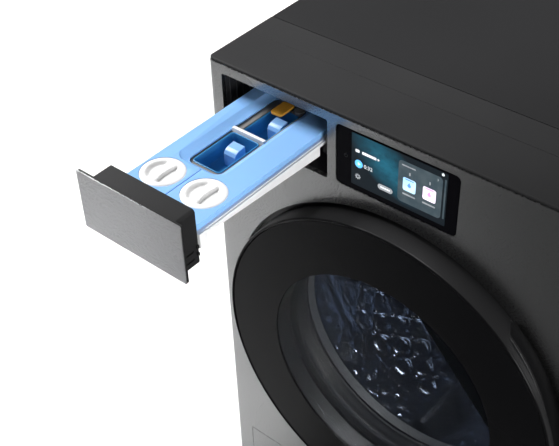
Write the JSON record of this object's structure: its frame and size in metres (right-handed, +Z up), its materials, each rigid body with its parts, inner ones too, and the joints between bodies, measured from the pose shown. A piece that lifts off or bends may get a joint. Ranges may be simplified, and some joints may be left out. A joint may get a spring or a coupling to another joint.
{
  "type": "front load washing machine",
  "caption": "Free-standing front load washing machine with round glass door, touch display and a pull-out dosing drawer shown open.",
  "frame": {"origin": "on the floor under the middle of the whole machine with its drawer pulled out; the front panel's face is at y = -0.254 m", "axes": "+X to the machine's right seen from the front, +Y from the front to the back, +Z up"},
  "size_m": [0.686, 1.084, 0.984],
  "materials": {
    "base_steel": "semi matt paint",
    "black_rubber": "matt",
    "cabinet_paint": "fine textured paint",
    "rear_steel": "galvanised, semi matt",
    "front_steel": "brushed, dark stainless",
    "top_dark": "matt powder coat",
    "trim_dark": "fine matt grain",
    "black_plastic": "matt moulded",
    "display_glass": "black printed glass",
    "display_panel": "lit screen",
    "board_green": "solder mask",
    "gasket_rubber": "soft satin",
    "hinge_steel": "zinc plated",
    "lock_white": "moulded",
    "valve_blue": "moulded",
    "hose_grey": "moulded",
    "pump_white": "moulded",
    "rail_steel": "galvanised",
    "damper_black": "painted tube",
    "spring_steel": "phosphated",
    "cap_blue": "moulded",
    "tub_plastic": "ribbed polypropylene",
    "concrete": "cast concrete",
    "bearing_steel": "ground",
    "heater_steel": "satin",
    "copper_coils": "enamelled windings",
    "rod_steel": "plated",
    "drum_steel": "embossed stainless",
    "lifter_steel": "polished stainless",
    "spider_aluminium": "die cast",
    "rotor_steel": "zinc plated",
    "gloss_black": "piano gloss",
    "door_glass": "smoked",
    "bowl_glass": "clear pressed",
    "fascia_steel": "brushed stainless",
    "tray_white": "moulded",
    "cover_blue": "satin translucent blue",
    "cup_blue": "deep blue, gloss",
    "cap_white": "satin",
    "lever_orange": "moulded"
  },
  "bodies": {
    "cabinet": {"base_frame": "base_steel", "levelling_feet": "black_rubber", "side_panel_left": "cabinet_paint", "side_panel_right": "cabinet_paint", "rear_panel": "rear_steel", "rear_service_cover": "rear_steel", "front_panel": "front_steel", "top_plate": "top_dark", "top_front_trim": "trim_dark", "door_surround": "black_plastic", "drawer_housing": "black_plastic", "display_glass": "display_glass", "display_panel": "display_panel", "control_board": "board_green", "door_gasket": "gasket_rubber", "hinge_bracket": "hinge_steel", "door_lock": "lock_white", "inlet_valves": "valve_blue", "cord_gland": "black_rubber", "drain_outlet": "hose_grey", "drain_pump": "pump_white", "spring_rail": "rail_steel", "damper_cylinders": "damper_black", "hanging_springs": "spring_steel"},
    "flap": {"service_flap": "front_steel"},
    "pump_cap": {"filter_cap": "cap_blue"},
    "tub": {"tub_rear": "tub_plastic", "tub_front": "tub_plastic", "counterweights": "concrete", "shaft_bearings": "bearing_steel", "shaft_seal": "black_rubber", "heater": "heater_steel", "motor_stator": "copper_coils", "damper_rods": "rod_steel"},
    "drum": {"drum_shell": "drum_steel", "drum_front_ring": "drum_steel", "drum_back": "drum_steel", "drum_lifters": "lifter_steel", "drum_spider": "spider_aluminium", "drum_shaft": "bearing_steel", "motor_rotor": "rotor_steel"},
    "door": {"door_ring": "gloss_black", "door_glass": "door_glass", "door_inner_frame": "black_plastic", "door_bowl": "bowl_glass", "hinge_leaf": "hinge_steel", "hinge_pin": "rod_steel", "latch_hook": "hinge_steel"},
    "drawer": {"drawer_fascia": "fascia_steel", "drawer_shell": "trim_dark", "drawer_tray": "tray_white", "tank_cover": "cover_blue", "detergent_cup": "cup_blue", "softener_cup": "cup_blue", "cup_divider": "tray_white"},
    "cap_detergent": {"detergent_cap": "cap_white"},
    "cap_softener": {"softener_cap": "cap_white"},
    "insert_detergent": {"detergent_insert": "cover_blue"},
    "insert_softener": {"softener_insert": "cover_blue"},
    "lever": {"release_lever": "lever_orange"}
  },
  "joints": [
    {"name": "door_hinge", "type": "hinge", "parent": "cabinet", "child": "door", "pos_m": [-0.29, -0.273, 0.533], "axis": [0, 0, -1], "range_deg": [0, 100]},
    {"name": "drawer_slide", "type": "slide", "parent": "cabinet", "child": "drawer", "axis": [0, -1, 0], "range_m": [-0.288, 0]},
    {"name": "detergent_cap_twist", "type": "hinge", "parent": "drawer", "child": "cap_detergent", "pos_m": [-0.2522, -0.4466, 0.931], "axis": [0, 0, 1], "range_deg": [0, 90]},
    {"name": "softener_cap_twist", "type": "hinge", "parent": "drawer", "child": "cap_softener", "pos_m": [-0.1758, -0.4466, 0.931], "axis": [0, 0, 1], "range_deg": [0, 90]},
    {"name": "detergent_insert_lift", "type": "slide", "parent": "drawer", "child": "insert_detergent", "axis": [0, 0, 1], "range_m": [0, 0.034]},
    {"name": "softener_insert_lift", "type": "slide", "parent": "drawer", "child": "insert_softener", "axis": [0, 0, 1], "range_m": [0, 0.034]},
    {"name": "lever_press", "type": "slide", "parent": "drawer", "child": "lever", "axis": [0, 0, -1], "range_m": [0, 0.0025], "stiffness_N_per_m": 400, "springref_m": -0.002},
    {"name": "flap_hinge", "type": "hinge", "parent": "cabinet", "child": "flap", "pos_m": [-0.24, -0.2514, 0.0586], "axis": [1, 0, 0], "range_deg": [0, 90]},
    {"name": "filter_cap_twist", "type": "hinge", "parent": "cabinet", "child": "pump_cap", "pos_m": [-0.24, -0.204, 0.108], "axis": [0, -1, 0], "range_deg": [0, 180]},
    {"name": "tub_float", "type": "slide", "parent": "cabinet", "child": "tub", "axis": [0, 0, 1], "range_m": [-0.012, 0.012], "stiffness_N_per_m": 16000, "springref_m": 0.03053, "deforming": ["hanging_springs"]},
    {"name": "drum_spin", "type": "hinge", "parent": "tub", "child": "drum", "pos_m": [0, 0, 0.533], "axis": [0, 1, 0], "continuous": true}
  ]
}
